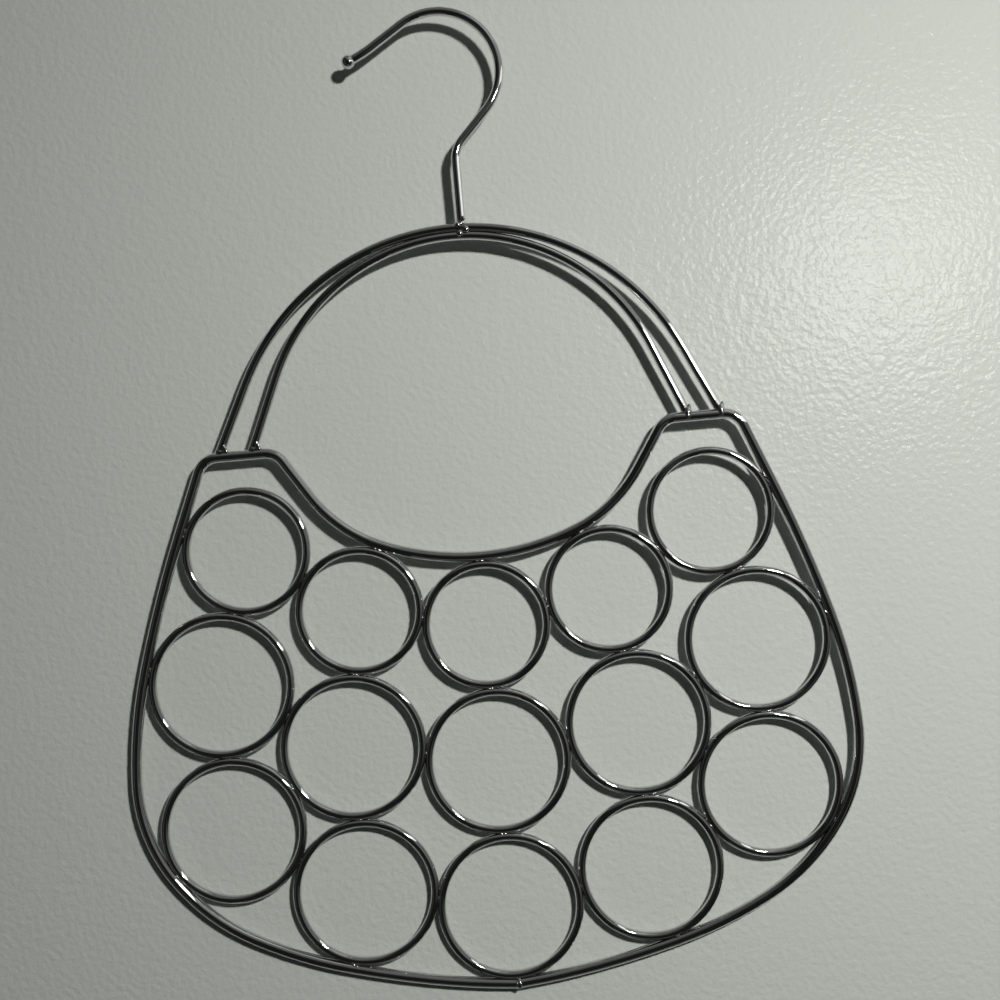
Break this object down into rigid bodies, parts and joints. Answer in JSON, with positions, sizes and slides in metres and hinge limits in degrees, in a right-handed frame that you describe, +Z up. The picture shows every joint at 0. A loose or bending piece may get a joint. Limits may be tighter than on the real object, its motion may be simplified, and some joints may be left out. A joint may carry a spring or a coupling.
{
  "type": "scarf hanger",
  "caption": "Flat chrome wire hanger in a handbag outline, with an open hook, a double arched handle and rows of rings that hold scarves.",
  "frame": {"origin": "the hook's seat: the inside of the hook's crown, where a rail touches it, in the middle of the wire and on the body's plane of symmetry", "axes": "+Z up, the hanger's height; +X to the viewer's right, its width; +Y away from the viewer, through the thin flat object, whose front faces -Y"},
  "size_m": [0.2828, 0.0054, 0.3796],
  "materials": {
    "chrome_wire": "bright chrome plate on round steel wire, smooth and mirror-like",
    "chrome_weld": "bright chrome plate over lumpy weld metal"
  },
  "bodies": {
    "root": {"hook_wire": "chrome_wire", "hook_ball_tip": "chrome_wire", "hook_weld": "chrome_weld", "outer_handle_arch": "chrome_wire", "inner_handle_arch": "chrome_wire", "handle_crown_weld": "chrome_weld", "handle_foot_welds": "chrome_weld", "frame_wire": "chrome_wire", "frame_butt_weld": "chrome_weld", "ring_top_1": "chrome_wire", "ring_top_2": "chrome_wire", "ring_top_3": "chrome_wire", "ring_top_4": "chrome_wire", "ring_top_5": "chrome_wire", "ring_middle_1": "chrome_wire", "ring_middle_2": "chrome_wire", "ring_middle_3": "chrome_wire", "ring_middle_4": "chrome_wire", "ring_middle_5": "chrome_wire", "ring_bottom_1": "chrome_wire", "ring_bottom_2": "chrome_wire", "ring_bottom_3": "chrome_wire", "ring_bottom_4": "chrome_wire", "ring_bottom_5": "chrome_wire"}
  },
  "joints": []
}
